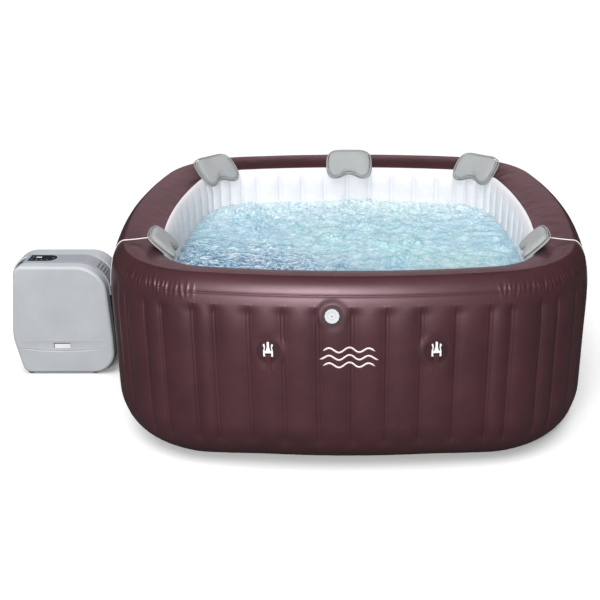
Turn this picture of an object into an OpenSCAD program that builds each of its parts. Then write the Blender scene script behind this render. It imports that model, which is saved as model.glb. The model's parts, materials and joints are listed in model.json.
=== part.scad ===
// Square inflatable hot tub with a side pump unit.
// Origin: centre of the tub's plan, on the ground. +X right, +Y back, +Z up. Millimetres.

/* [Tub plan] */
// Half the tub's width, from its centre to the middle of one side
half_w = 1005; // [900:5:1100]
// Radius of the gentle bow of each side
side_r = 3385; // [3000:5:4500]
// Radius of each corner in plan
corner_r = 469; // [440:1:500]

/* [Tub section] */
// Height of the tub to the crest of the rim
tub_h = 800; // [780:5:820]
// Distance between the outer and inner wall
wall_w = 235; // [225:5:245]
// Radius where the outer wall rolls under to the ground
foot_r = 220; // [180:5:240]
// How far in from the outer face the rim's crest lies
shoulder_w = 66; // [60:1:72]
// Height over which the outer wall leans in to the crest
shoulder_h = 218; // [200:2:230]
// How far in from the outer face the dark rim skin meets the white inner skin
seam_d = 207; // [200:1:212]
// Thickness of the welded PVC skins
skin = 2; // [1.5:0.5:3]
// Spacing of the vertical weld bands along each side
flute_pitch = 127; // [122:1:128]

/* [Jets] */
// Height of the jet nozzles and of the pipe that feeds them
jet_z = 400; // [390:5:430]
// Distance of each jet from the middle of its side
jet_s = 315; // [305:5:325]
// Radius of the swivelling nozzle ball
ball_r = 20; // [18:1:22]

/* [Pump unit] */
// Height of the pump unit's covers
pump_h = 537; // [520:1:560]
// Front face of the pump unit along Y
pump_front_y = -115; // [-125:5:-110]
// Back face of the pump unit along Y
pump_back_y = 145; // [140:5:160]
// Thickness of the moulded casings
shell_t = 3; // [2.5:0.5:4]
// Height of the rubber feet
foot_h = 6; // [5:1:20]

/* [Accessories] */
// Width of each headrest pillow along the rim
pillow_w = 240; // [200:10:260]
// Height of each headrest pillow up its face
pillow_h = 176; // [150:2:190]
// Thickness of each headrest pillow
pillow_t = 44; // [30:1:50]
// Width of the elastic tapes that hold the pillows
cord_w = 8; // [6:1:10]
// Height of the cover clips' patches
clip_z = 529; // [500:1:540]
// Distance of each cover clip from the middle of its side
clip_s = 307; // [300:1:315]

/* [Hidden] */
$fn = 72;
sweep_fn = 360;       // fineness of the wall's long sweeps

PVC = [0.30, 0.19, 0.20];
LINER = [0.93, 0.93, 0.95];
CASE = [0.78, 0.79, 0.81];
DARK = [0.30, 0.32, 0.34];
BLACK = [0.10, 0.11, 0.12];
PAD = [0.70, 0.71, 0.71];
gap = 0.5;            // clearance between neighbouring skins and fittings
joint_gap = 0.04;     // butt joint between two panels of a skin
running = 0.08;       // radial clearance of a turning fit

function unit(v) = v / norm(v);

// ---- Plan of the tub: four bowed sides joined by four tangent corner arcs ----
corner_c = (-(side_r - half_w) + sqrt(2 * pow(side_r - corner_r, 2) - pow(side_r - half_w, 2))) / 2;
side_a = atan2(corner_c, corner_c - half_w + side_r);     // half the angle of a side arc
deg = 180 / PI;
side_end = side_r * side_a / deg;                         // half the length of a side arc
corner_len = corner_r * (90 - 2 * side_a) / deg;
quarter = 2 * side_end + corner_len;                      // from one side's middle to the next
next_side = side_end + corner_len;

// Angle of the outward normal at distance s anticlockwise from the middle of the +X side
function rim_angle(s) = s < side_end ? s / side_r * deg
    : s < next_side ? side_a + (s - side_end) / corner_r * deg
    : 90 - (quarter - s) / side_r * deg;
// Point of the outer face at the same distance
function rim_point(s) = let (a = rim_angle(s))
    s < side_end ? [half_w - side_r + side_r * cos(a), side_r * sin(a)]
    : s < next_side ? [corner_c + corner_r * cos(a), corner_c + corner_r * sin(a)]
    : [side_r * cos(a), half_w - side_r + side_r * sin(a)];

// Puts children at the outer face, local +X pointing outward. side: 0 right, 1 back, 2 left, 3 front.
module on_rim(side, s) {
    rotate(90 * side) translate([rim_point(s)[0], rim_point(s)[1], 0]) rotate(rim_angle(s)) children();
}

// Turns a profile, drawn as (distance in from the outer face, height), through part of an arc
module arc_sweep(centre, r, from, to) {
    translate([centre[0], centre[1], 0]) rotate(from)
        rotate_extrude(angle = to - from, $fn = sweep_fn) translate([r, 0]) mirror([1, 0]) children();
}

// Sweeps a profile right round the tub, as eight butt-jointed panels
module around_tub() {
    side_cut = joint_gap / side_r * deg / 2;
    corner_cut = joint_gap / corner_r * deg / 2;
    for (k = [0 : 3]) rotate(90 * k) {
        arc_sweep([half_w - side_r, 0], side_r, -side_a + side_cut, side_a - side_cut) children();
        arc_sweep([corner_c, corner_c], corner_r, side_a + corner_cut, 90 - side_a - corner_cut) children();
    }
}

// Outline of the plan, moved in from the outer face by d
function plan_quarter(d, n) = [for (i = [0 : n - 1]) let (s = quarter * i / n, a = rim_angle(s))
    rim_point(s) - d * [cos(a), sin(a)]];
function turned(p, k) = [p[0] * cos(90 * k) - p[1] * sin(90 * k), p[0] * sin(90 * k) + p[1] * cos(90 * k)];
function plan_outline(d, n = 24) = [for (k = [0 : 3], p = plan_quarter(d, n)) turned(p, k)];

// ---- Wall section: a wall that rolls under at the foot and leans in to a gently domed rim ----
lip_w = 217;            // half axes of the rim's fall from its crest to the inside
lip_h = 136;
liner_drop = 48;        // height over which the inner skin turns down to the inner wall
crease_z = 757;         // weld line between the wall's skin and the rim's skin
wall_top = tub_h - shoulder_h;
seam_t = asin((seam_d - shoulder_w) / lip_w);
crease_t = asin((crease_z - wall_top) / shoulder_h);
weld_gap = 0.2;         // step between the two skins at that line, in degrees round the shoulder
seam_z = tub_h - lip_h * (1 - cos(seam_t));
steps = 8;

// Points (distance in from the outer face, height) of each stretch of the section, from the ground up and over
function shoulder(from, to) = [for (i = [0 : steps]) let (t = from + (to - from) * i / steps)
    [shoulder_w * (1 - cos(t)), wall_top + shoulder_h * sin(t)]];
function lip(to) = [for (i = [0 : steps]) let (t = to * i / steps)
    [shoulder_w + lip_w * sin(t), tub_h - lip_h * (1 - cos(t))]];
function liner_turn() = [for (i = [0 : steps]) let (t = 90 * i / steps)
    [seam_d + (wall_w - seam_d) * sin(t), seam_z - liner_drop * (1 - cos(t))]];

// The same line moved in (or out, if t is negative) along its own normals
function along(c, i) = unit(c[min(i + 1, len(c) - 1)] - c[max(i - 1, 0)]);
function moved(c, t) = [for (i = [0 : len(c) - 1]) let (a = along(c, i)) c[i] + t * [a[1], -a[0]]];
function backwards(c) = [for (i = [len(c) - 1 : -1 : 0]) c[i]];
module strip(c, t0, t1) {
    polygon(concat(moved(c, t0), backwards(moved(c, t1))));
}

wall_line = concat([[0, foot_r]], shoulder(0, crease_t));
rim_line = concat(shoulder(crease_t + weld_gap, 90), [for (i = [1 : steps]) lip(seam_t)[i]]);
liner_line = concat(liner_turn(), [[wall_w, 2 * skin + gap]]);

module outer_profile() {
    strip(wall_line, 0, skin);
    intersection() {
        translate([foot_r, foot_r]) difference() {
            circle(r = foot_r);
            circle(r = foot_r - skin);
        }
        square(foot_r);
    }
}

// ---- Placing of repeated parts ----
side_bands = 4;                                 // weld bands each side of the middle one
last_band = side_bands * flute_pitch;
corner_bands = [80, 208, 294];                  // further bands into the corner, from the last one
seams = concat([for (i = [0 : side_bands]) i * flute_pitch],
    [for (d = corner_bands) last_band + d],
    [for (d = corner_bands) quarter - last_band - d],
    [for (i = [1 : side_bands]) quarter - i * flute_pitch]);
band_shift = 12;                                // the bands sit a little to one side of each side's middle
jet_places = [for (side = [0 : 3], end = [0, 1]) [side, end == 0 ? jet_s : quarter - jet_s]];
clip_places = [[2, quarter + band_shift - clip_s], [3, clip_s + band_shift],
    [0, quarter + band_shift - clip_s], [1, clip_s + band_shift]];
pillow_corner_s = 900;                          // corner pillows, from the middle of the side before them
pillow_side_s = 550;                            // side pillows, from the middle of their side
pillow_places = [[0, quarter], [1, pillow_corner_s], [0, pillow_corner_s],
    [2, pillow_side_s], [3, quarter - pillow_side_s]];
port_y = -9;                                    // pump connections, level with the middle of the pump's core
port_zs = [150, 240, 330];                      // water in, air, jets out
port_rs = [25, 16, 25];
sleeve_t = 4;
wall_x = -half_w;

module each_port() {
    for (i = [0 : 2]) translate([0, port_y, port_zs[i]]) rotate([0, 90, 0]) {
        $port_r = port_rs[i];
        children();
    }
}

// Drills a hole along the pump connections, from x0 over a length
module port_holes(x0, len, extra) {
    for (i = [0 : 2]) translate([x0, port_y, port_zs[i]]) rotate([0, 90, 0])
        cylinder(r = port_rs[i] + extra, h = len);
}

// ---- Skins ----
valve_s = -61;
valve_z = 672;
valve_in = 6.2;         // the wall already leans in a little at the valve
valve_tilt = 8.3;
valve_r = 22;
valve_turn = rim_angle(-valve_s);

// Local frame of the air valve, on the front wall, local +Z pointing out of the wall
module at_valve() {
    rotate(-90) mirror([0, 1, 0]) translate([rim_point(-valve_s)[0], rim_point(-valve_s)[1], valve_z])
        rotate(valve_turn) translate([-valve_in, 0, 0]) rotate([0, 90 - valve_tilt, 0]) children();
}

module outer_wall() {
    color(PVC) difference() {
        around_tub() outer_profile();
        port_holes(wall_x - 20, 60, sleeve_t + gap);
        at_valve() translate([0, 0, -30]) cylinder(r = valve_r + gap, h = 60);
    }
}

module top_ring() {
    color(PVC) around_tub() strip(rim_line, 0, skin);
}

socket_r = 27;
module inner_wall() {
    color(LINER) difference() {
        around_tub() strip(liner_line, 0, skin);
        port_holes(wall_x + wall_w - 40, 80, sleeve_t + gap);
        for (p = jet_places) on_rim(p[0], p[1]) translate([-wall_w - 30, 0, jet_z])
            rotate([0, 90, 0]) cylinder(r = socket_r + gap, h = 60);
    }
}

module base_sheet() {
    color(PVC) linear_extrude(skin) polygon(plan_outline(foot_r + gap));
}

floor_z = skin + gap;
module floor_liner() {
    color(LINER) translate([0, 0, floor_z]) linear_extrude(skin) polygon(plan_outline(wall_w - skin));
}

// Webs that tie the outer and inner walls together, one at each weld band
// (the one behind the pump connections is left out)
module wall_beams() {
    web_low = foot_r + 10;
    web_top = wall_top;
    web_out = 14;
    web_in = 205;
    color(LINER) for (side = [0 : 3], s = seams) if (side != 2 || s != 0) on_rim(side, s + band_shift) difference() {
        translate([-web_in, -skin / 2, web_low]) cube([web_in - web_out, skin, web_top - web_low]);
        translate([-pipe_ring_d, 0, jet_z]) rotate([90, 0, 0]) cylinder(r = 20, h = 20, center = true);
    }
}

// ---- Air and jets ----
channel_r = 28;
module air_channel() {
    lift = floor_z + skin + gap;
    hole_r = 2.5;
    color(LINER) difference() {
        around_tub() translate([wall_w + channel_r + 4, lift]) intersection() {
            difference() {
                circle(r = channel_r);
                circle(r = channel_r - skin);
            }
            translate([-channel_r, 0]) square([2 * channel_r, channel_r]);
        }
        for (side = [0 : 3], i = [0 : 9]) on_rim(side, quarter * (i + 0.5) / 10)
            translate([-wall_w - channel_r - 4, 0, lift + channel_r / 2]) cylinder(r = hole_r, h = channel_r);
    }
}

pipe_ring_d = 115;      // the ring pipe runs in the middle of the wall
pipe_r = 16;
pipe_bore = 13;
module jet_manifold() {
    riser_z = port_zs[2] + port_rs[2] + sleeve_t + gap;
    color(LINER) {
        around_tub() translate([pipe_ring_d, jet_z]) difference() {
            circle(r = pipe_r);
            circle(r = pipe_bore);
        }
        // riser from the jet outlet sleeve to the ring pipe
        translate([wall_x + pipe_ring_d, port_y, riser_z]) difference() {
            cylinder(r = 12, h = jet_z - pipe_bore - riser_z - 1);
            translate([0, 0, -1]) cylinder(r = 9, h = jet_z);
        }
    }
}

ball_back = 12;                 // centre of the nozzle ball, behind the inner wall's face
mouth_r = 17;
flange_t = 4;
// Local frame of a jet: origin at the ball's centre, local +Z pointing into the tub
module at_jet(p) {
    on_rim(p[0], p[1]) translate([-wall_w + ball_back, 0, jet_z]) rotate([0, -90, 0]) children();
}

module jet_sockets() {
    body_len = 62;
    color(CASE) for (p = jet_places) at_jet(p) difference() {
        union() {
            translate([0, 0, ball_back - body_len]) cylinder(r = socket_r, h = body_len);
            translate([0, 0, ball_back + gap]) cylinder(r = 38, h = flange_t);
            translate([0, 0, ball_back - 1]) cylinder(r = socket_r, h = 2);
            // stub to the ring pipe
            translate([0, 0, -(wall_w - ball_back - pipe_ring_d - pipe_r - gap)]) cylinder(r = 10, h = 60);
        }
        sphere(r = ball_r + gap);
        cylinder(r = mouth_r, h = 40);
        translate([0, 0, 10]) cylinder(r1 = mouth_r, r2 = mouth_r + 6, h = 7);
        translate([0, 0, -100]) cylinder(r = 7, h = 100);
    }
}

module jet_nozzle(i) {
    color(DARK) at_jet(jet_places[i]) difference() {
        union() {
            sphere(r = ball_r);
            cylinder(r = 10, h = ball_r + 5);
        }
        translate([0, 0, -40]) cylinder(r = 6, h = 80);
    }
}

// ---- Air valve ----
valve_bore = 14;
module valve_body() {
    color(DARK) at_valve() difference() {
        union() {
            translate([0, 0, -40]) cylinder(r = valve_r, h = 40 + skin + gap);
            translate([0, 0, gap]) cylinder(r = 40, h = skin);
        }
        translate([0, 0, -60]) cylinder(r = valve_bore, h = 80);
    }
}

module valve_cap() {
    cap_t = 8;
    ribs = 12;
    color(CASE) at_valve() difference() {
        union() {
            translate([0, 0, skin + 2 * gap]) cylinder(r = 26, h = cap_t);
            translate([0, 0, -10]) cylinder(r = valve_bore - running, h = 16);
            for (i = [0 : ribs - 1]) rotate(i * 360 / ribs)
                translate([25, 0, skin + 3 * gap]) cylinder(r = 2, h = cap_t - 2 * gap, $fn = 24);
        }
        // shallow ring and centre hole in the cap's face
        translate([0, 0, cap_t]) difference() {
            cylinder(r = 19, h = 5);
            translate([0, 0, -1]) cylinder(r = 12, h = 7);
        }
        translate([0, 0, -30]) cylinder(r = 2.5, h = 60);
    }
}

// ---- Cover clips: patch, webbing and the male half of a side-release buckle ----
bar_x = 7.5;
bar_z = clip_z - 16;
bar_r = 2.5;
strap_w = 22;
module clip_patches() {
    color(PVC) for (p = clip_places) on_rim(p[0], p[1])
        translate([gap, 0, clip_z]) rotate([0, 90, 0]) cylinder(r = 45, h = skin);
}

module clip_straps() {
    loop_in = bar_r + 0.1;
    web = 1.5;
    tail = 90;
    x0 = bar_x - loop_in - web;
    color(PVC) for (p = clip_places) on_rim(p[0], p[1])
        translate([0, strap_w / 2, bar_z]) rotate([90, 0, 0]) linear_extrude(strap_w) {
            translate([bar_x, 0]) difference() {
                circle(r = loop_in + web);
                circle(r = loop_in);
            }
            difference() {
                union() {
                    translate([x0, -tail]) square([web, tail]);
                    polygon([[bar_x + loop_in + web, 0], [bar_x + loop_in, 0], [x0 + web / 2, -28], [x0 + web, -32]]);
                }
                translate([bar_x, 0]) circle(r = loop_in);
            }
        }
}

module clip_buckle(i) {
    t = 5;
    w = 36;
    slot_w = 24;
    head_z = 12;            // top of the slot above the bar
    base_h = 20;
    tip_h = 56;
    color(CASE) on_rim(clip_places[i][0], clip_places[i][1]) translate([bar_x, 0, bar_z]) {
        rotate([90, 0, 0]) cylinder(r = bar_r, h = w, center = true);
        translate([t / 2, 0, 0]) rotate([0, -90, 0]) linear_extrude(t) {
            // side rails, cross plate, centre prong and two springy side prongs
            for (e = [-1, 1]) {
                translate([0, e * (w + slot_w) / 4 - (w - slot_w) / 4]) square([base_h, (w - slot_w) / 2]);
                polygon([[base_h - 1, e * 18], [base_h - 1, e * 14], [34, e * 11], [46, e * 12],
                    [48, e * 14], [46, e * 18], [40, e * 18], [36, e * 14.5]]);
            }
            translate([head_z, -w / 2]) square([base_h - head_z, w]);
            polygon([[base_h - 1, -9], [base_h - 1, 9], [36, 4], [tip_h - 2, 4], [tip_h, 2], [tip_h, -2],
                [tip_h - 2, -4], [36, -4]]);
        }
    }
}

// ---- Headrest pillows ----
pillow_tilt = 44;           // slope of a pillow's face from the horizontal
pillow_at = [221, 796];     // middle of a pillow, (in from the outer face, height)
// A padded slab on the slope of the rim's inner shoulder
module pillow(i) {
    p = pillow_places[i];
    r = rim_angle(p[1]) == 90 ? side_r : corner_r;
    half = pillow_w / 2 / (r - wall_w) * deg;
    color(PAD) on_rim(p[0], p[1]) arc_sweep([-r, 0], r, -half, half)
        translate(pillow_at) rotate(-pillow_tilt) square([pillow_h, pillow_t], center = true);
}

// Elastic tape of each pillow: over the rim and down the outer wall to its anchor
tape_t = 1.6;
tape_lift = 1;
tape_end_z = 610;
module pillow_cords() {
    tape_line = concat([[0, tape_end_z]], shoulder(8, 90), [for (i = [1 : steps]) lip(18)[i]]);
    color(LINER) for (p = pillow_places) on_rim(p[0], p[1])
        translate([0, cord_w / 2, 0]) rotate([90, 0, 0]) linear_extrude(cord_w) mirror([1, 0])
            strip(tape_line, -tape_lift - tape_t, -tape_lift);
}

module cord_anchors() {
    color(PVC) for (p = pillow_places) on_rim(p[0], p[1]) translate([gap, 0, tape_end_z - 14]) {
        rotate([0, 90, 0]) cylinder(r = 12, h = skin / 2);
        translate([0, -9, 0]) cube([5, 18, 13.5]);
    }
}

// ---- Pump unit ----
// Outline of the covers seen from the front, as corners and their radii
front_corners = [[-1518, pump_h], [-1110, pump_h], [-1098, 180], [-1100, foot_h], [-1526, foot_h], [-1563, 190]];
rear_corners = [[-1578, pump_h], [-1112, pump_h], [-1086, 180], [-1088, foot_h], [-1546, foot_h], [-1586, 190]];
front_radii = [45, 130, 80, 105, 40, 250];
rear_radii = [112, 110, 80, 105, 40, 250];

function wrap(a) = a > 180 ? a - 360 : a < -180 ? a + 360 : a;
// Corner i of a polygon rounded with radius r, as n + 1 points
function round_corner(p0, p1, p2, r, n) = let (u = unit(p0 - p1), v = unit(p2 - p1),
    half = acos(u * v) / 2, c = p1 + unit(u + v) * r / sin(half),
    s = p1 + u * r / tan(half) - c, e = p1 + v * r / tan(half) - c,
    a0 = atan2(s[1], s[0]), da = wrap(atan2(e[1], e[0]) - a0))
    [for (i = [0 : n]) c + r * [cos(a0 + da * i / n), sin(a0 + da * i / n)]];
function rounded(ps, rs, n = 10) = [for (i = [0 : len(ps) - 1],
    q = round_corner(ps[(i + len(ps) - 1) % len(ps)], ps[i], ps[(i + 1) % len(ps)], rs[i], n)) q];
// Moves each corner inwards so that every edge moves by t
function inset(ps, t) = [for (i = [0 : len(ps) - 1]) let (p = ps[i],
    u = unit(ps[(i + len(ps) - 1) % len(ps)] - p), v = unit(ps[(i + 1) % len(ps)] - p))
    p + unit(u + v) * t / sin(acos(u * v) / 2)];
function less(rs, t) = [for (r = rs) max(4, r - t)];

// Slab of the pump's outline between two Y positions
module pump_slab(corners, radii, y0, y1, t = 0) {
    translate([0, y1, 0]) rotate([90, 0, 0]) linear_extrude(y1 - y0)
        polygon(rounded(inset(corners, t), less(radii, t)));
}

core_front_y = pump_front_y + 55;
core_back_y = pump_front_y + 157;
core_inset = 28;
core_mid_y = (core_front_y + core_back_y) / 2;
screw_places = [[-1475, 452], [-1158, 420], [-1158, 90], [-1490, 90]];

badge_x = -1334;
badge_z = 146;
badge_w = 73;
badge_h = 22;
module pump_front_cover() {
    color(CASE) difference() {
        pump_slab(front_corners, front_radii, pump_front_y, core_front_y);
        pump_slab(front_corners, front_radii, pump_front_y + shell_t, core_front_y + 1, shell_t);
        // pocket of the maker's plate
        translate([badge_x - badge_w / 2 - gap, pump_front_y - 1, badge_z - badge_h / 2 - gap])
            cube([badge_w + 2 * gap, 1 + shell_t / 2, badge_h + 2 * gap]);
    }
}

module badge_plate() {
    plate_t = 1.2;
    color(LINER) translate([badge_x - badge_w / 2, pump_front_y + 0.1, badge_z - badge_h / 2])
        cube([badge_w, plate_t, badge_h]);
}

// Back shell with long screw bosses that meet the core casing
module pump_rear_cover() {
    color(CASE) difference() {
        union() {
            difference() {
                pump_slab(rear_corners, rear_radii, core_back_y, pump_back_y);
                pump_slab(rear_corners, rear_radii, core_back_y - 1, pump_back_y - shell_t, shell_t);
            }
            for (p = screw_places) translate([p[0], pump_back_y - 1, p[1]]) rotate([90, 0, 0])
                cylinder(r = 6, h = pump_back_y - core_back_y - 1.5);
        }
        for (p = screw_places) translate([p[0], pump_back_y + 1, p[1]]) rotate([90, 0, 0])
            cylinder(r = 2.5, h = 200);
        // cable gland hole
        translate([-1300, pump_back_y + 1, 110]) rotate([90, 0, 0]) cylinder(r = 5.5, h = 10);
    }
}

trim_ends = [-1486, -1080];     // left and right ends of the raised top trim
trim_y = [core_front_y + 2, core_back_y - 3];
trim_top = pump_h + 6;
// Middle and radius of the core's rounded corner next to the tub
vent_r = front_radii[1] - core_inset;
vent_at = [front_corners[1][0] - front_radii[1] + 4, pump_h - front_radii[1]];
// Intake slots across the rounded corner beside the control deck
module vent_slots() {
    for (a = [30 : 7 : 51]) translate([vent_at[0], trim_y[0] + 8, vent_at[1]]) rotate([0, -a, 0])
        translate([vent_r - 12, 0, -2]) cube([60, trim_y[1] - trim_y[0] - 16, 4]);
}

module pump_core_casing() {
    color(DARK) difference() {
        pump_slab(front_corners, front_radii, core_front_y + gap, core_back_y - gap, core_inset);
        pump_slab(front_corners, front_radii, core_front_y + shell_t + gap, core_back_y - shell_t - gap,
            core_inset + shell_t);
        // open windows towards the two covers, inside a flange
        pump_slab(front_corners, front_radii, core_front_y - 10, core_back_y + 10, core_inset + 40);
        port_holes(-1140, 60, gap);
        for (p = screw_places) translate([p[0], core_back_y + 5, p[1]]) rotate([90, 0, 0])
            cylinder(r = 2.4, h = 12);
        vent_slots();
    }
}

// Raised band that carries the control panel and turns down over the rounded corner
module pump_top_trim() {
    top = trim_top - pump_h;
    color(CASE) difference() {
        intersection() {
            pump_slab(front_corners, front_radii, trim_y[0], trim_y[1], -top);
            translate([trim_ends[0], trim_y[0] - 1, 380]) cube([trim_ends[1] - trim_ends[0], 200, 300]);
        }
        pump_slab(front_corners, front_radii, trim_y[0] - 1, trim_y[1] + 1, core_inset - gap);
        // recess for the control panel
        panel_body(trim_top - 4 - gap, 10, gap);
        vent_slots();
        // wells under the buttons
        for (b = button_places) translate([b[0], b[1], trim_top - 12]) cylinder(r = 5, h = 20);
    }
}

// Control panel: a flat bar with one round end
panel_x = [-1470, -1345];
panel_y = [core_mid_y - 39, core_mid_y + 39];
module panel_body(z, h, grow) {
    r = (panel_y[1] - panel_y[0]) / 2;
    mid = (panel_y[0] + panel_y[1]) / 2;
    translate([0, 0, z]) {
        translate([panel_x[0] - grow, panel_y[0] - grow, 0])
            cube([panel_x[1] - panel_x[0] - r + grow, 2 * r + 2 * grow, h]);
        translate([panel_x[1] - r, mid, 0]) cylinder(r = r + grow, h = h);
    }
}

button_r = 6;
button_places = [for (b = [[-1456, 14], [-1456, -18], [-1432, -26], [-1408, -26], [-1384, -26], [-1360, 0]])
    [b[0], core_mid_y + b[1]]];
module control_panel() {
    color(BLACK) difference() {
        panel_body(trim_top - 4, 4.5, 0);
        for (b = button_places) translate([b[0], b[1], trim_top - 10]) cylinder(r = button_r + 0.3, h = 20);
    }
}

button_travel = 1.5;
module button(i) {
    color(CASE) translate([button_places[i][0], button_places[i][1], 0]) {
        translate([0, 0, trim_top - 2.2]) cylinder(r = button_r, h = 4);
        translate([0, 0, trim_top - 7]) cylinder(r = 4, h = 6);
    }
}

module pump_feet() {
    color(BLACK) for (x = [-1500, -1200], y = [pump_front_y + 30, pump_back_y - 30]) translate([x, y, 0])
        cylinder(r = 16, h = foot_h - 0.1);
}

module cover_screws() {
    shank = 2.2;
    screw_len = pump_back_y - core_back_y + 8;
    color(DARK) for (p = screw_places) translate([p[0], pump_back_y + 0.2, p[1]]) rotate([-90, 0, 0]) {
        difference() {
            cylinder(r = 4.2, h = 2.4);
            translate([0, 0, 1.4]) cube([5, 1, 3], center = true);
        }
        translate([0, 0, 2 - screw_len]) cylinder(r = shank, h = screw_len - 1);
    }
}

// ---- Connections between the pump and the tub ----
flange_x = wall_x - 7;
module wall_fittings() {
    inner_x = wall_x + wall_w;
    color(DARK) for (i = [0 : 2]) translate([0, port_y, port_zs[i]]) rotate([0, 90, 0]) {
        r = port_rs[i];
        difference() {
            union() {
                translate([0, 0, flange_x]) cylinder(r = r + sleeve_t, h = inner_x + 8 - flange_x);
                translate([0, 0, flange_x]) cylinder(r = r + 17, h = 6);
                translate([0, 0, inner_x + 2]) cylinder(r = r + 17, h = 6);
            }
            translate([0, 0, flange_x - 1]) cylinder(r = r, h = wall_w + 40);
        }
        // debris screen at the tub's inside
        for (k = [-2 : 2]) let (y = k * r / 3, len = sqrt(r * r - y * y) + 1)
            translate([-len, y - 1, inner_x + 4]) cube([2 * len, 2, 2]);
    }
}

pipe_x = [-1150, -1018];
module coupling_pipes() {
    color(BLACK) for (i = [0 : 2]) translate([pipe_x[0], port_y, port_zs[i]]) rotate([0, 90, 0])
        difference() {
            union() {
                cylinder(r = port_rs[i], h = pipe_x[1] - pipe_x[0]);
                // collar behind the nut
                translate([0, 0, 66]) cylinder(r = port_rs[i] + 5, h = 8);
            }
            translate([0, 0, -1]) cylinder(r = port_rs[i] - 4, h = 200);
        }
}

nut_x = -1072;
nut_len = 50;
module union_nut(i) {
    grips = 10;
    color(BLACK) translate([nut_x, port_y, port_zs[i]]) rotate([0, 90, 0]) difference() {
        union() {
            cylinder(r = port_rs[i] + 15, h = nut_len);
            for (k = [0 : grips - 1]) rotate(k * 360 / grips) translate([port_rs[i] + 14, 0, 3])
                cylinder(r = 4, h = nut_len - 6, $fn = 24);
        }
        translate([0, 0, -1]) cylinder(r = port_rs[i] + running, h = nut_len + 2);
    }
}

module coupling_seals() {
    color(BLACK) for (i = [0 : 2]) translate([pipe_x[1] + 0.2, port_y, port_zs[i]]) rotate([0, 90, 0])
        difference() {
            cylinder(r = port_rs[i] + 3, h = flange_x - pipe_x[1] - 0.4);
            translate([0, 0, -1]) cylinder(r = port_rs[i] - 3, h = 20);
        }
}

// ---- Inside the pump unit ----
jet_pump_at = [-1400, core_mid_y, 165];
module jet_pump_housing() {
    color(DARK) translate(jet_pump_at) rotate([90, 0, 0]) difference() {
        union() {
            translate([0, 0, -20]) cylinder(r = 56, h = 46);
            translate([0, 0, -90]) cylinder(r = 44, h = 72);
            translate([30, 30, -16]) rotate([0, 90, 0]) translate([-19, 0, 0]) cylinder(r = 18, h = 60);
        }
        translate([0, 0, -14]) cylinder(r = 48, h = 34);
        translate([0, 0, -70]) cylinder(r = 4 + running, h = 80);
        translate([0, 0, 0]) cylinder(r = 18, h = 60);
        translate([30, 30, 3]) rotate([0, 90, 0]) cylinder(r = 14, h = 100);
    }
}

module jet_pump_impeller() {
    vanes = 6;
    color(LINER) translate(jet_pump_at) rotate([90, 0, 0]) {
        translate([0, 0, -11]) cylinder(r = 40, h = 4);
        translate([0, 0, -11]) cylinder(r = 12, h = 22);
        translate([0, 0, -65]) cylinder(r = 4, h = 60);
        for (k = [0 : vanes - 1]) rotate(k * 360 / vanes) translate([10, -1.5, -8]) cube([29, 3, 18]);
    }
}

module filter_pump() {
    color(DARK) translate([-1240, core_mid_y, 122]) rotate([90, 0, 0]) {
        cylinder(r = 34, h = 60, center = true);
        translate([0, 0, -60]) cylinder(r = 26, h = 40);
        translate([20, 0, 10]) rotate([0, 90, 0]) cylinder(r = 12, h = 40);
    }
}

blower_at = [-1395, core_mid_y, 350];
module blower_housing() {
    color(DARK) translate(blower_at) rotate([90, 0, 0]) difference() {
        union() {
            translate([0, 0, -30]) cylinder(r = 72, h = 60);
            translate([0, 0, -80]) cylinder(r = 40, h = 52);
            translate([0, 44, 0]) rotate([0, 90, 0]) cylinder(r = 20, h = 100);
        }
        translate([0, 0, -24]) cylinder(r = 64, h = 48);
        translate([0, 0, 20]) cylinder(r = 26, h = 20);
        translate([0, 0, -60]) cylinder(r = 4 + running, h = 50);
        translate([0, 44, 0]) rotate([0, 90, 0]) cylinder(r = 16, h = 120);
    }
}

module blower_fan() {
    blades = 16;
    color(CASE) translate(blower_at) rotate([90, 0, 0]) {
        translate([0, 0, -19]) cylinder(r = 50, h = 3);
        translate([0, 0, -19]) cylinder(r = 10, h = 20);
        translate([0, 0, -58]) cylinder(r = 4, h = 42);
        for (k = [0 : blades - 1]) rotate(k * 360 / blades) translate([38, -1, -17]) rotate(30) cube([12, 2, 32]);
    }
}

module heater() {
    color(CASE) translate([-1216, core_mid_y, 190]) difference() {
        union() {
            cylinder(r = 30, h = 180);
            for (z = [10, 162]) translate([0, 0, z]) cylinder(r = 34, h = 8);
        }
        translate([0, 0, 6]) cylinder(r = 26, h = 168);
    }
}

module control_board() {
    color([0.1, 0.35, 0.2]) {
        translate([-1470, core_mid_y - 40, 474]) cube([230, 80, 1.6]);
        for (x = [-1450, -1400, -1340]) translate([x, core_mid_y - 12, 475]) cube([24, 24, 12]);
    }
}

// Pleated cartridge in its cage, pushed on to the water inlet inside the tub
filter_x = wall_x + wall_w + 70;
module filter_cartridge() {
    pleats = 24;
    color(LINER) translate([filter_x, port_y, 60]) difference() {
        union() {
            cylinder(r = 50, h = 170);
            for (z = [0, 162]) translate([0, 0, z]) cylinder(r = 56, h = 8);
        }
        translate([0, 0, -1]) cylinder(r = 22, h = 200);
        for (k = [0 : pleats - 1]) rotate(k * 360 / pleats) translate([45, -1.5, 11]) cube([8, 3, 148]);
    }
}

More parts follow.
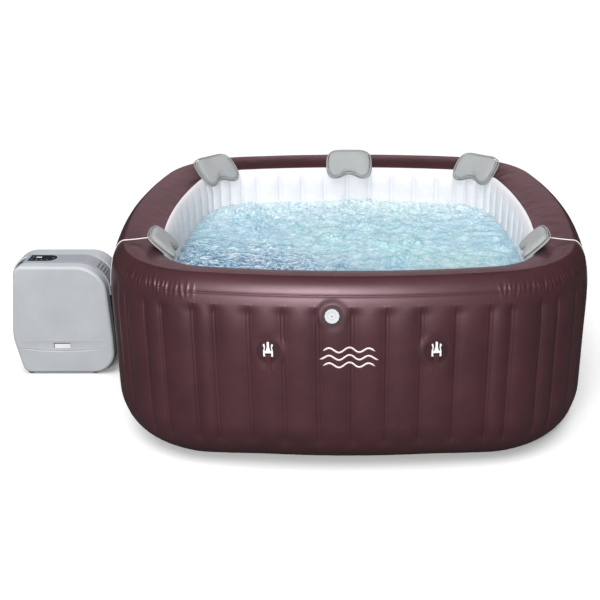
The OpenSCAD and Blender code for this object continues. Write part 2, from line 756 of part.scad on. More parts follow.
// Coiled cable with its moulded plug, hung behind the pump unit
module power_cable() {
    cable_r = 4;
    lead_r = 3.4;
    coil_r = 85;
    y0 = pump_back_y + 7;
    color(BLACK) translate([-1300, 0, 300]) {
        translate([0, y0, 0]) rotate([90, 0, 0]) rotate_extrude() {
            for (i = [0 : 2]) translate([coil_r + i * 1.6 * cable_r, 0]) circle(r = cable_r);
        }
        // lead from the gland up to the coil
        translate([0, y0, -193]) cylinder(r = lead_r, h = 102);
        translate([0, y0, -190]) rotate([90, 0, 0]) cylinder(r = lead_r - 0.3, h = 20);
        // moulded plug inside the coil
        translate([-24, y0 - 6, -30]) cube([48, 26, 58]);
        translate([0, y0, 20]) cylinder(r = lead_r, h = 66);
        for (x = [-9.5, 9.5]) translate([x, y0 + 8, -48]) cylinder(r = 2.4, h = 20);
    }
}

outer_wall();
top_ring();
inner_wall();
floor_liner();
base_sheet();
wall_beams();
air_channel();
jet_manifold();
jet_sockets();
jet_nozzle(0);  // jet_nozzle_1
jet_nozzle(1);  // jet_nozzle_2
jet_nozzle(2);  // jet_nozzle_3
jet_nozzle(3);  // jet_nozzle_4
jet_nozzle(4);  // jet_nozzle_5
jet_nozzle(5);  // jet_nozzle_6
jet_nozzle(6);  // jet_nozzle_7
jet_nozzle(7);  // jet_nozzle_8
valve_body();
valve_cap();
clip_patches();
clip_straps();
clip_buckle(0);  // clip_buckle_1
clip_buckle(1);  // clip_buckle_2
clip_buckle(2);  // clip_buckle_3
clip_buckle(3);  // clip_buckle_4
pillow(0);  // pillow_1
pillow(1);  // pillow_2
pillow(2);  // pillow_3
pillow(3);  // pillow_4
pillow(4);  // pillow_5
pillow_cords();
cord_anchors();
pump_front_cover();
pump_rear_cover();
pump_core_casing();
pump_top_trim();
control_panel();
button(0);  // button_up
button(1);  // button_down
button(2);  // button_heat
button(3);  // button_filter
button(4);  // button_bubbles
button(5);  // button_jets
badge_plate();
pump_feet();
cover_screws();
wall_fittings();
coupling_pipes();
union_nut(0);  // union_nut_inlet
union_nut(2);  // union_nut_outlet
coupling_seals();
jet_pump_housing();
jet_pump_impeller();
filter_pump();
blower_housing();
blower_fan();
heater();
control_board();
filter_cartridge();
power_cable();
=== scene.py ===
"""Looks of the square inflatable hot tub. Metres; +X right, +Y back, +Z up; the pump unit is at -X."""
import bisect
import json
import math
import random
import bmesh
import bpy
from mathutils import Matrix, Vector, noise


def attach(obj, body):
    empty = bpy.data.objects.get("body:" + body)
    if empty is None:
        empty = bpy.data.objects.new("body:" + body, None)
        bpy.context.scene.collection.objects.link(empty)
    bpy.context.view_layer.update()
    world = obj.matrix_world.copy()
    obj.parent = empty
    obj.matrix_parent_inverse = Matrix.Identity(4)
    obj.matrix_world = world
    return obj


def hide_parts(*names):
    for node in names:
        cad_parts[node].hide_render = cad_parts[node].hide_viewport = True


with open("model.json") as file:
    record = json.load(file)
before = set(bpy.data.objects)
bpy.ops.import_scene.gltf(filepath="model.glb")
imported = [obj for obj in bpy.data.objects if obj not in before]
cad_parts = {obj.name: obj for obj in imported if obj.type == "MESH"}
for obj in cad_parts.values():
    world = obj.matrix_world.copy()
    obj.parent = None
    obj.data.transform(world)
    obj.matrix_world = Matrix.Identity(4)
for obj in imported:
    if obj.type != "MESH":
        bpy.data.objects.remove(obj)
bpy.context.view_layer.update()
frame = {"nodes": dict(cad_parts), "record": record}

random.seed(7)
NODES = frame["nodes"]

# ---- Plan of the tub: four bowed sides joined by four tangent corner arcs ----
HALF_W = 1.005
SIDE_R = 3.385
CORNER_R = 0.469
CORNER_C = (-(SIDE_R - HALF_W) + math.sqrt(2 * (SIDE_R - CORNER_R) ** 2 - (SIDE_R - HALF_W) ** 2)) / 2
SIDE_A = math.atan2(CORNER_C, CORNER_C - HALF_W + SIDE_R)
SIDE_END = SIDE_R * SIDE_A
NEXT_SIDE = SIDE_END + CORNER_R * (math.pi / 2 - 2 * SIDE_A)
QUARTER = NEXT_SIDE + SIDE_END
ROUND = 4 * QUARTER
RIGHT, BACK, LEFT, FRONT = range(4)

# ---- Section of the wall ----
TUB_H = 0.800
FOOT_R = 0.220
CORNER_FOOT = 0.86      # the foot's radius is this much smaller at the corners
SHOULDER_W = 0.066      # how far the outer wall leans in up to the crest, and over what height
SHOULDER_H = 0.218
LIP_W = 0.217           # half axes of the rim's fall from its crest to the inside
LIP_H = 0.136
SEAM_D = 0.207
SEAM_T = math.asin((SEAM_D - SHOULDER_W) / LIP_W)
SEAM_Z = TUB_H - LIP_H * (1 - math.cos(SEAM_T))
LINER_D = 0.230         # face of the inner wall at its weld bands
LINER_DROP = 0.048
WALL_TOP = TUB_H - SHOULDER_H
CREASE_Z = 0.7425       # weld line between the wall's skin and the rim's
SKIN_SPREAD = 0.003     # the flutes swell this far past the smooth section
FLUTE_LOW = 0.108
FLUTE_TOP = 0.704
FLUTE_DEPTH = 0.0105
BAND_HALF = 0.0080      # half the width of the flat weld band between two flutes
FLUTE_PITCH = 0.127
BAND_SHIFT = 0.012
SIDE_BANDS = 4
CORNER_BANDS = (0.080, 0.208, 0.294)
WATER_Z = 0.588

# ---- Fittings, as in the CAD ----
CLIP_S = 0.307
CLIP_Z = 0.529
VALVE_S = -0.061
VALVE_Z = 0.672
PILLOW_CORNER_S = 0.900
PILLOW_SIDE_S = 0.550
TAPE_START = 0.175      # where the tapes leave the pillows, in from the outer face
PORT_Y = -0.009
PORT_ZS = (0.150, 0.240, 0.330)


def clamp01(t):
    """t held between 0 and 1."""
    return max(0.0, min(1.0, t))


def smooth(t):
    """Soft step from 0 to 1."""
    t = clamp01(t)
    return t * t * (3 - 2 * t)


def bump_at(t, centre, width):
    """A soft hill of height 1."""
    return math.exp(-((t - centre) / width) ** 2)


def plan(s):
    """(point, outward normal) of the outer face, s anticlockwise from the middle of the right side."""
    s %= ROUND
    side = int(s // QUARTER)
    t = s - side * QUARTER
    if t < SIDE_END:
        a = t / SIDE_R
        p = Vector((HALF_W - SIDE_R + SIDE_R * math.cos(a), SIDE_R * math.sin(a)))
    elif t < NEXT_SIDE:
        a = SIDE_A + (t - SIDE_END) / CORNER_R
        p = Vector((CORNER_C + CORNER_R * math.cos(a), CORNER_C + CORNER_R * math.sin(a)))
    else:
        a = math.pi / 2 - (QUARTER - t) / SIDE_R
        p = Vector((SIDE_R * math.cos(a), HALF_W - SIDE_R + SIDE_R * math.sin(a)))
    turn = math.pi / 2 * side
    c, k = math.cos(turn), math.sin(turn)
    n = Vector((math.cos(a + turn), math.sin(a + turn)))
    return Vector((p.x * c - p.y * k, p.x * k + p.y * c)), n


def at(s, d, z):
    """Point at distance s round the tub, d in from the outer face, height z."""
    p, n = plan(s)
    return Vector((p.x - d * n.x, p.y - d * n.y, z))


def side_s(side, s):
    """Distance round the tub of a point s along from the middle of a side."""
    return side * QUARTER + s


def wrap(ds):
    """A difference of two distances round the tub, taken the shorter way."""
    return (ds + ROUND / 2) % ROUND - ROUND / 2


def spread(quarter):
    """Bands of one quarter repeated round the tub."""
    return [side * QUARTER + s + BAND_SHIFT for side in range(4) for s in quarter]


LAST_BAND = SIDE_BANDS * FLUTE_PITCH
BANDS = spread([i * FLUTE_PITCH for i in range(SIDE_BANDS + 1)]
               + [LAST_BAND + d for d in CORNER_BANDS]
               + [QUARTER - LAST_BAND - d for d in reversed(CORNER_BANDS)]
               + [QUARTER - i * FLUTE_PITCH for i in range(SIDE_BANDS, 0, -1)])
# the inner wall has fewer, wider flutes round its tighter corners
LINER_BANDS = spread([i * FLUTE_PITCH for i in range(SIDE_BANDS)]
                     + [LAST_BAND + i * (QUARTER - 2 * LAST_BAND) / 6 for i in range(7)]
                     + [QUARTER - i * FLUTE_PITCH for i in range(SIDE_BANDS - 1, 0, -1)])


def across_flute(s, bands):
    """Where s lies across its flute, from -1 to 1 between weld bands; beyond that on a band."""
    s = (s - bands[0]) % ROUND + bands[0]
    i = bisect.bisect_right(bands, s) - 1
    nxt = bands[i + 1] if i + 1 < len(bands) else bands[0] + ROUND
    mid = (bands[i] + nxt) / 2
    half = (nxt - bands[i]) / 2 - BAND_HALF
    return (s - mid) / half


def puff(u, power):
    """Height of an air-filled flute across its width, 1 in the middle."""
    return 0.0 if abs(u) >= 1 else (1 - abs(u) ** 2.2) ** power


def columns(fine, bands, corner_fine=None):
    """Distances round the tub where a skin gets vertices: close together at the weld bands."""
    out = []
    for i, b in enumerate(bands):
        nxt = bands[i + 1] if i + 1 < len(bands) else bands[0] + ROUND
        for off in (-1.0, -0.45, 0.45, 1.0):
            out.append(b + off * BAND_HALF)
        a, z = b + BAND_HALF, nxt - BAND_HALF
        in_corner = SIDE_END - 0.10 < ((a + z) / 2) % QUARTER < NEXT_SIDE + 0.10
        count = corner_fine if corner_fine and in_corner else fine
        for k in range(1, count):
            t = k / count
            out.append(a + (z - a) * (0.5 - 0.5 * math.cos(math.pi * t)))
    return out


def make_mesh(name, verts, faces, smooth_shade=True):
    """New mesh object in the scene."""
    me = bpy.data.meshes.new(name)
    me.from_pydata([tuple(v) for v in verts], [], faces)
    me.validate()
    me.update()
    if smooth_shade:
        me.polygons.foreach_set("use_smooth", [True] * len(me.polygons))
    ob = bpy.data.objects.new(name, me)
    bpy.context.scene.collection.objects.link(ob)
    return ob


def grid(name, rows, close_u=False, close_v=False, cap_ends=False):
    """Surface through rows of points. close_u joins each row's ends, close_v the last row to the first."""
    n, m = len(rows), len(rows[0])
    verts = [p for row in rows for p in row]
    faces = []
    for i in range(n if close_v else n - 1):
        for j in range(m if close_u else m - 1):
            a, b = i * m + j, i * m + (j + 1) % m
            c, d = ((i + 1) % n) * m + (j + 1) % m, ((i + 1) % n) * m + j
            faces.append((a, b, c, d))
    if cap_ends:
        faces.append(tuple(reversed(range(m))))
        faces.append(tuple((n - 1) * m + j for j in range(m)))
    return make_mesh(name, verts, faces)


def tube(name, points, radius, flat=1.0, sides=10, closed=False):
    """Round or flattened cord through points. flat is the ratio of its height to its width."""
    rows = []
    count = len(points)
    up = Vector((0, 0, 1))
    side = None
    for i, p in enumerate(points):
        a = points[(i - 1) % count] if closed or i else p
        b = points[(i + 1) % count] if closed or i + 1 < count else p
        t = (b - a).normalized()
        if side is None:
            side = t.cross(up if abs(t.z) < 0.9 else Vector((0, 1, 0))).normalized()
        side = (side - t * side.dot(t)).normalized()
        nrm = side.cross(t)
        rows.append([p + side * radius * math.cos(2 * math.pi * k / sides)
                     + nrm * radius * flat * math.sin(2 * math.pi * k / sides) for k in range(sides)])
    return grid(name, rows, close_u=True, close_v=closed, cap_ends=not closed)


def fractal(p, scale, octaves=3):
    """Smooth random height at a point."""
    return noise.fractal(p * scale, 1.0, 2.0, octaves)


def solidify(ob, thickness):
    """Gives a skin its real thickness, inwards from the side its faces point to."""
    m = ob.modifiers.new("thickness", "SOLIDIFY")
    m.thickness = thickness
    m.offset = -1


# ---- Materials ----
def srgb(r, g, b):
    """sRGB 0-255 to the linear colour Blender's nodes take."""
    def lin(v):
        v /= 255
        return v / 12.92 if v <= 0.04045 else ((v + 0.055) / 1.055) ** 2.4
    return (lin(r), lin(g), lin(b), 1)


class Look:
    """A node material built step by step."""
    def __init__(self, name, rough=0.5, spec=0.5, metal=0.0):
        self.mat = bpy.data.materials.new(name)
        self.mat.use_nodes = True
        self.nt = self.mat.node_tree
        self.nt.nodes.clear()
        self.out = self.node("ShaderNodeOutputMaterial")
        self.bsdf = self.node("ShaderNodeBsdfPrincipled")
        self.link(self.bsdf, "BSDF", self.out, "Surface")
        self.set(self.bsdf, Roughness=rough, Metallic=metal)
        self.bsdf.inputs["Specular IOR Level"].default_value = spec
        self.coord = self.node("ShaderNodeTexCoord")
        self.last_normal = None

    def node(self, kind):
        return self.nt.nodes.new(kind)

    def set(self, node, **values):
        for key, v in values.items():
            node.inputs[key.replace("_", " ")].default_value = v

    def link(self, a, out, b, inp):
        socket = 2 if a.bl_idname == "ShaderNodeMix" else out
        self.nt.links.new(a.outputs[socket], b.inputs[inp])

    def noise(self, scale, detail=4, rough=0.6, stretch=None):
        n = self.node("ShaderNodeTexNoise")
        self.set(n, Scale=scale, Detail=detail, Roughness=rough)
        self.link(self.mapped(stretch), 0, n, "Vector")
        return n

    def voronoi(self, scale, feature="F1", stretch=None):
        n = self.node("ShaderNodeTexVoronoi")
        n.feature = feature
        self.set(n, Scale=scale)
        self.link(self.mapped(stretch), 0, n, "Vector")
        return n

    def mapped(self, stretch):
        m = self.node("ShaderNodeMapping")
        self.link(self.coord, "Object", m, "Vector")
        if stretch:
            m.inputs["Scale"].default_value = stretch
        return m

    def ramp(self, src, out, stops):
        r = self.node("ShaderNodeValToRGB")
        r.color_ramp.elements[0].position, r.color_ramp.elements[0].color = stops[0]
        r.color_ramp.elements[1].position, r.color_ramp.elements[1].color = stops[-1]
        for pos, col in stops[1:-1]:
            r.color_ramp.elements.new(pos).color = col
        self.link(src, out, r, "Fac")
        return r

    def colour(self, node, out="Color"):
        self.link(node, out, self.bsdf, "Base Color")

    def mix(self, fac, fac_out, a, b):
        """Mix of two colours; each is a colour or a node with a Color output."""
        m = self.node("ShaderNodeMix")
        m.data_type = "RGBA"
        self.link(fac, fac_out, m, 0)
        for src, index in ((a, 6), (b, 7)):
            if isinstance(src, tuple):
                m.inputs[index].default_value = src
            else:
                self.link(src, "Color", m, index)
        return m

    def bump(self, src, out, strength, distance):
        b = self.node("ShaderNodeBump")
        self.set(b, Strength=strength, Distance=distance)
        self.link(src, out, b, "Height")
        if self.last_normal:
            self.link(self.last_normal, "Normal", b, "Normal")
        self.last_normal = b
        self.link(b, "Normal", self.bsdf, "Normal")

    def roughness(self, src, out, low, high):
        m = self.node("ShaderNodeMapRange")
        self.set(m, To_Min=low, To_Max=high)
        self.link(src, out, m, "Value")
        self.link(m, "Result", self.bsdf, "Roughness")


def skin_look(name, dark, light, rough=(0.36, 0.5), grain=900, spec=0.45, sheen=(1, 1, 1, 1)):
    """Soft laminated PVC: faint mottling, a fine leather-like grain and slightly uneven gloss."""
    k = Look(name, spec=spec)
    k.set(k.bsdf, Specular_Tint=sheen)
    cloud = k.noise(5.0, 8, 0.7)
    k.colour(k.ramp(cloud, "Fac", [(0.3, dark), (0.7, light)]))
    k.roughness(k.noise(14, 3), "Fac", *rough)
    k.bump(k.voronoi(grain), "Distance", 0.12, 0.0006)
    k.bump(k.noise(45, 4), "Fac", 0.08, 0.002)
    return k.mat


def plastic_look(name, dark, light, rough=(0.35, 0.5), grain=1400, strength=0.08, spec=0.5):
    """Moulded plastic with a fine spark-eroded texture and slight variation."""
    k = Look(name, spec=spec)
    k.colour(k.ramp(k.noise(6, 4), "Fac", [(0.3, dark), (0.7, light)]))
    k.roughness(k.noise(30, 3), "Fac", *rough)
    k.bump(k.noise(grain, 2, 0.5), "Fac", strength, 0.0004)
    return k.mat


def woven_look(name, dark, light, scale=700):
    """Woven tape: threads as bands running one way, with a fine grain."""
    k = Look(name, rough=0.8, spec=0.2)
    wave = k.node("ShaderNodeTexWave")
    wave.bands_direction = "Z"
    k.set(wave, Scale=scale, Distortion=0.4)
    k.link(k.mapped(None), 0, wave, "Vector")
    k.colour(k.ramp(wave, "Fac", [(0.2, dark), (0.8, light)]))
    k.bump(wave, "Fac", 0.4, 0.0005)
    k.bump(k.noise(900, 2), "Fac", 0.3, 0.0004)
    return k.mat


def pad_look():
    """Grey vinyl pillow: woven-look embossing and soft mottling."""
    k = Look("pad_grey", spec=0.35)
    cells = k.voronoi(420)
    tone = k.ramp(k.noise(9, 4), "Fac", [(0.3, srgb(134, 136, 137)), (0.7, srgb(152, 154, 155))])
    k.colour(k.mix(cells, "Distance", tone, srgb(168, 169, 170)))
    k.roughness(k.noise(20, 3), "Fac", 0.5, 0.66)
    k.bump(cells, "Distance", 0.35, 0.0008)
    k.bump(k.noise(30, 4), "Fac", 0.15, 0.002)
    return k.mat


def water_look():
    """Aerated turquoise water: pale froth over blue, whiter at the back, darker at the front left."""
    k = Look("bubbling_water", rough=0.16, spec=0.45)
    fine = k.noise(17.0, 14, 0.82)
    blue = k.ramp(fine, "Fac", [(0.34, srgb(108, 158, 182)), (0.5, srgb(160, 195, 209)),
                                (0.66, srgb(204, 222, 230))])
    green = k.ramp(fine, "Fac", [(0.34, srgb(116, 166, 178)), (0.5, srgb(164, 200, 206)),
                                 (0.66, srgb(206, 225, 229))])
    tint = k.ramp(k.noise(1.7, 3), "Fac", [(0.42, (0, 0, 0, 1)), (0.58, (1, 1, 1, 1))])
    body = k.mix(tint, "Color", blue, green)
    streak = k.ramp(k.noise(24, 12, 0.80, (1, 2.2, 1)), "Fac",
                    [(0.44, srgb(48, 98, 138)), (0.50, srgb(110, 156, 186)), (0.57, srgb(214, 230, 238))])
    pool = k.node("ShaderNodeTexGradient")
    pool.gradient_type = "SPHERICAL"
    place = k.node("ShaderNodeMapping")
    reach = 0.75
    place.inputs["Location"].default_value = (0.56 / reach, 0.46 / reach, 0)
    place.inputs["Scale"].default_value = (1 / reach, 1 / reach, 0)
    k.link(k.coord, "Object", place, "Vector")
    k.link(place, 0, pool, "Vector")
    # the pool's border is ragged and fades slowly
    ragged = k.node("ShaderNodeMath")
    ragged.operation = "MULTIPLY_ADD"
    ragged.inputs[1].default_value = 0.7
    k.link(k.noise(5, 8, 0.7), "Fac", ragged, 0)
    k.link(pool, "Fac", ragged, 2)
    depth = k.ramp(ragged, "Value", [(0.36, (0, 0, 0, 1)), (0.98, (1, 1, 1, 1))])
    under = k.mix(depth, "Color", body, streak)
    # froth gathers towards the back wall
    axes = k.node("ShaderNodeSeparateXYZ")
    k.link(k.coord, "Object", axes, 0)
    back = k.node("ShaderNodeMapRange")
    k.set(back, From_Min=0.25, From_Max=0.80, To_Min=0.0, To_Max=0.13)
    k.link(axes, "Y", back, "Value")
    amount = k.node("ShaderNodeMath")
    amount.operation = "ADD"
    k.link(k.noise(52, 12, 0.82), "Fac", amount, 0)
    k.link(back, "Result", amount, 1)
    whiter = k.node("ShaderNodeMath")
    whiter.operation = "MULTIPLY_ADD"
    whiter.inputs[1].default_value = 0.05
    k.link(pool, "Fac", whiter, 0)
    k.link(amount, "Value", whiter, 2)
    froth = k.ramp(whiter, "Value", [(0.53, (0, 0, 0, 1)), (0.66, (0.92, 0.92, 0.92, 1))])
    k.colour(k.mix(froth, "Color", under, srgb(226, 236, 242)))
    k.bump(k.noise(90, 10, 0.78), "Fac", 0.55, 0.008)
    k.bump(k.voronoi(260), "Distance", 0.25, 0.003)
    return k.mat


def metal_look():
    """Brushed steel."""
    k = Look("steel", metal=1.0, spec=0.5)
    k.colour(k.ramp(k.noise(40, 3), "Fac", [(0.3, srgb(120, 122, 125)), (0.7, srgb(165, 167, 170))]))
    k.roughness(k.noise(200, 2, 0.5, (1, 1, 20)), "Fac", 0.25, 0.45)
    return k.mat


def paper_look():
    """Pleated filter paper."""
    k = Look("filter_paper", rough=0.9, spec=0.15)
    k.colour(k.ramp(k.noise(60, 5), "Fac", [(0.3, srgb(222, 222, 214)), (0.7, srgb(240, 240, 234))]))
    k.bump(k.noise(600, 3), "Fac", 0.4, 0.0006)
    return k.mat


MATS = {
    "brown_pvc": skin_look("brown_pvc", srgb(54, 30, 34), srgb(68, 38, 42), (0.37, 0.45), spec=0.95,
                           sheen=(1.0, 0.72, 0.80, 1)),
    "white_pvc": skin_look("white_pvc", srgb(220, 218, 222), srgb(232, 230, 233), (0.42, 0.55)),
    "grey_case": plastic_look("grey_case", srgb(178, 182, 187), srgb(188, 192, 196)),
    "charcoal_plastic": plastic_look("charcoal_plastic", srgb(56, 61, 67), srgb(68, 73, 79)),
    "dark_nozzle": plastic_look("dark_nozzle", srgb(60, 64, 70), srgb(74, 78, 84), (0.15, 0.3)),
    "black_gloss": plastic_look("black_gloss", srgb(22, 25, 29), srgb(30, 33, 38), (0.08, 0.18), 300, 0.02),
    "black_rubber": plastic_look("black_rubber", srgb(22, 23, 26), srgb(32, 33, 36), (0.55, 0.7), 800, 0.2),
    "button_grey": plastic_look("button_grey", srgb(70, 76, 84), srgb(84, 90, 98), (0.5, 0.6), 800, 0.15),
    "white_plastic": plastic_look("white_plastic", srgb(222, 222, 224), srgb(236, 236, 238), (0.25, 0.4)),
    "circuit_board": plastic_look("circuit_board", srgb(22, 84, 50), srgb(34, 104, 64), (0.3, 0.45),
                                  300, 0.2),
    "steel": metal_look(),
    "filter_paper": paper_look(),
    "brown_webbing": woven_look("brown_webbing", srgb(56, 32, 35), srgb(90, 54, 57)),
    "white_cord": woven_look("white_cord", srgb(206, 200, 196), srgb(236, 232, 228), 900),
    "grey_pad": pad_look(),
    "water": water_look(),
    # painted shade: the pump's top trim is a darker grey than the case, standing for the shade in its recess
    "deck_grey_painted_shade": plastic_look("deck_grey_painted_shade", srgb(146, 150, 158), srgb(156, 160, 168)),
    "patch_pvc": skin_look("patch_pvc", srgb(50, 28, 32), srgb(60, 34, 38), (0.38, 0.46)),
    "print": plastic_look("print", srgb(222, 204, 206), srgb(232, 216, 217), (0.4, 0.5), 900, 0.05),
    "display": plastic_look("display", srgb(206, 212, 214), srgb(218, 224, 226), (0.1, 0.2), 300, 0.02),
}


def paint(ob, look):
    """Gives a piece one look."""
    ob.data.materials.clear()
    ob.data.materials.append(MATS[look])


# CAD nodes whose tone differs a little from the rest of their material; the pump's top trim is a darker grey
# as painted shade of its recess
OWN_LOOK = {"pump_top_trim": "deck_grey_painted_shade", "clip_patches": "patch_pvc", "valve_body": "patch_pvc",
            "badge_plate": "white_plastic"}


def paint_cad():
    """Gives every carried-over CAD node the look of its slot in the record."""
    for part in frame["record"]["subparts"]:
        node = NODES[part["node"]]
        node.data.materials.clear()
        node.data.materials.append(MATS[OWN_LOOK.get(part["node"], part["material_slot"])])


# ---- Tub skins ----
CALM_SPOTS = [(side_s(FRONT, VALVE_S), VALVE_Z, 0.044)]
CALM_SPOTS += [(side_s(side, BAND_SHIFT + e * CLIP_S), CLIP_Z, 0.050)
               for side in (FRONT, BACK) for e in (-1, 1)]
CALM_SPOTS += [(side_s(LEFT, -PORT_Y), z, 0.050) for z in PORT_ZS]


def calm(s, z):
    """0 on the welded patches of the valve and clips, 1 away from them."""
    out = 1.0
    for cs, cz, r in CALM_SPOTS:
        ds = wrap(s - cs)
        dist = math.hypot(ds, z - cz)
        if dist < 1.5 * r:
            out *= smooth((dist - r) / (0.5 * r))
    return out


def port_patch(s, z):
    """1 on the flat welded patch behind the lowest pump connection, 0 away from it."""
    ds = wrap(s - side_s(LEFT, -PORT_Y))
    return 1 - smooth((math.hypot(ds, z - PORT_ZS[0]) - 0.046) / 0.05)


WRINKLE_Z = 0.748


def corner_wrinkles():
    """Short upright creases of the shoulder round each corner: (distance, height, strength, slant)."""
    out = []
    for side in range(4):
        s = SIDE_END - 0.02
        while s < NEXT_SIDE + 0.02:
            mid = 1 - abs(s - QUARTER / 2) / (QUARTER / 2 - SIDE_END + 0.05)
            out.append((side_s(side, s), WRINKLE_Z + random.uniform(-0.006, 0.006),
                        (0.0020 + 0.0020 * random.random()) * (0.55 + mid), random.uniform(-0.25, 0.25)))
            s += random.uniform(0.016, 0.025)
    return out


WRINKLES = corner_wrinkles()


def wrinkle(s, z):
    """Height of the corner wrinkles at a point of the outer skin."""
    if abs(z - WRINKLE_Z) > 0.075:
        return 0.0
    total = 0.0
    for ws, wz, amp, slant in WRINKLES:
        ds = wrap(s - ws - slant * (z - wz))
        if abs(ds) < 0.03:
            total += amp * bump_at(ds, 0, 0.0052) * bump_at(z, wz, 0.022)
    return total


def outer_relief(s, z):
    """How far the outer skin stands out from its smooth section."""
    u = across_flute(s, BANDS)
    # flutes have rounded ends: their sides close in near the top and bottom
    ends = min((z - FLUTE_LOW) / 0.05, (FLUTE_TOP - z) / 0.034)
    reach = smooth(ends)
    arch = 0.5 * max(0.0, 1 - u * u) + 0.5 * puff(u, 0.45)
    hollow = (1 - arch) * reach
    lip = 0.0024 * smooth(ends + 0.25) * bump_at(abs(u), 1.0, 0.05)
    soft = 0.0016 * fractal(Vector((s * 1.5, z * 2, 3)), 1.0)
    return calm(s, z) * (SKIN_SPREAD - FLUTE_DEPTH * hollow + lip + soft) + wrinkle(s, z)


def outer_section():
    """(d, z) of the smooth outer section, from the ground to the colour seam inside the rim."""
    pts = [(FOOT_R + 0.02, 0.0), (FOOT_R, 0.0)]
    for i in range(1, 44):
        a = math.pi / 2 * i / 44
        pts.append((FOOT_R - FOOT_R * math.sin(a), FOOT_R - FOOT_R * math.cos(a)))
    z = FOOT_R
    while z < WALL_TOP:
        pts.append((0.0, z))
        z += 0.014
    # closer rows over the crease and wrinkles of the shoulder
    for a in [math.radians(t) for t in list(range(0, 33, 3)) + list(range(33, 64)) + list(range(66, 91, 3))]:
        pts.append((SHOULDER_W * (1 - math.cos(a)), WALL_TOP + SHOULDER_H * math.sin(a)))
    for i in range(1, 15):
        a = SEAM_T * i / 14
        pts.append((SHOULDER_W + LIP_W * math.sin(a), TUB_H - LIP_H * (1 - math.cos(a))))
    return pts


def shoulder_crease(z, d):
    """The raised weld that runs round the shoulder, between the wall's skin and the rim's."""
    return 0.0014 * bump_at(z, CREASE_Z, 0.0050) if d < SHOULDER_W else 0.0


def foot_point(s, d, z):
    """Tightens the foot towards the corners."""
    t = s % QUARTER
    k = 1 - (1 - CORNER_FOOT) * smooth((min(t, QUARTER - t) - 0.30) / 0.35)
    return d * k, z * k + FOOT_R * (1 - k) * (z / FOOT_R) ** 2


def build_outer_skin():
    """Wall and rim as one welded skin, split at the shoulder into the CAD's two nodes."""
    cols = columns(16, BANDS, 38)
    section = outer_section()
    normals = []
    for i, (d, z) in enumerate(section):
        a, b = section[max(i - 1, 0)], section[min(i + 1, len(section) - 1)]
        t = Vector((b[0] - a[0], b[1] - a[1])).normalized()
        normals.append((t.y, t.x))     # outwards and upwards parts of the section's normal
    rows = []
    for (d0, z0), (out, up) in zip(section, normals):
        row = []
        for s in cols:
            d, z = foot_point(s, d0, z0) if z0 < FOOT_R else (d0, z0)
            fade = smooth((z - 0.02) / 0.08) * (1.0 if d < SHOULDER_W else 0.4)
            e = outer_relief(s, z) * fade + shoulder_crease(z, d)
            if z0 > WALL_TOP and d > 1.4 * SHOULDER_W:
                e += 0.0011 * fractal(Vector((s * 16, d * 22, 1)), 1.0)
            flat = d * port_patch(s, z) if z < FOOT_R else 0.0
            row.append(at(s, d - flat - e * out, z + e * up))
        rows.append(row)
    split = next(i for i, (d, z) in enumerate(section) if z > CREASE_Z)
    wall = grid("outer_wall_skin", rows[:split + 1], close_u=True)
    rim = grid("rim_skin", rows[split:], close_u=True)
    for ob, node in ((wall, "outer_wall"), (rim, "top_ring")):
        solidify(ob, 0.002)
        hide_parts(node)
        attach(ob, "tub")
        paint(ob, "brown_pvc")


def build_liner():
    """White inner wall: deep air-filled flutes from the colour seam down to the floor."""
    cols = columns(16, LINER_BANDS)
    section = []
    for i in range(13):
        a = math.pi / 2 * i / 12
        section.append((SEAM_D + (LINER_D - SEAM_D) * math.sin(a), SEAM_Z - LINER_DROP * (1 - math.cos(a))))
    z = SEAM_Z - LINER_DROP - 0.01
    while z > 0.04:
        section.append((LINER_D, z))
        z -= 0.010 if z > 0.6 else 0.025
    for i in range(7):
        a = math.pi / 2 * i / 6
        section.append((LINER_D + 0.03 * (1 - math.cos(a)), 0.04 - 0.033 * math.sin(a)))
    rows = []
    for d, z in section:
        row = []
        for s in cols:
            u = across_flute(s, LINER_BANDS)
            reach = smooth((SEAM_Z - 0.006 - z) / 0.085) * smooth((z - 0.02) / 0.08)
            e = 0.011 * puff(u, 0.5) * reach + 0.0012 * fractal(Vector((s * 3, z * 4, 9)), 1.0)
            row.append(at(s, d + e, z))
        rows.append(row)
    ob = grid("inner_wall_skin", rows, close_u=True)
    solidify(ob, 0.0015)
    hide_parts("inner_wall")
    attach(ob, "tub")
    paint(ob, "white_pvc")


def water_height(v, edge):
    """Height of the churned surface above its mean level. edge is 0 at the wall and 1 well inside."""
    swell = 0.009 * fractal(v, 3.2, 4)
    chop = 0.010 * noise.turbulence(v * 16, 5, False)
    burst = smooth((fractal(v + Vector((5, 2, 0)), 4.5, 3) - 0.08) / 0.5)
    boil = burst + 0.55 * smooth((v.y - 0.35) / 0.3)
    spray = boil * (0.006 + 0.028 * abs(noise.noise(v * 42)) + 0.010 * abs(noise.noise(v * 95)))
    return (swell + chop + spray) * (0.45 + 0.55 * edge)


def build_water():
    """Choppy, aerated water filling the tub, with thrown droplets."""
    rings = 160
    around = 820
    edge = LINER_D - 0.002
    rows = []
    for i in range(rings):
        f = 1 - i / rings
        row = []
        for j in range(around):
            p, n = plan(ROUND * j / around)
            q = (p - n * edge) * f
            v = Vector((q.x, q.y, 0))
            row.append(Vector((q.x, q.y, WATER_Z + water_height(v, smooth((1 - f) * 9)))))
        rows.append(row)
    rows.append([Vector((0, 0, WATER_Z + 0.01))] * around)
    side = [Vector((p.x, p.y, WATER_Z - 0.06)) for p in rows[0]]
    base = [Vector((p.x * 0.02, p.y * 0.02, WATER_Z - 0.06)) for p in rows[0]]
    parts = [grid("water_body", [base, side] + rows, close_u=True)]
    parts.append(droplets())
    for ob in parts:
        paint(ob, "water")
    ob = join("water", parts)
    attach(ob, "tub")
    return ob


DROPS = 520
DROP_SHAPE = ((1, 0, 0), (0, 1, 0), (-1, 0, 0), (0, -1, 0), (0, 0, 1.3), (0, 0, -1))


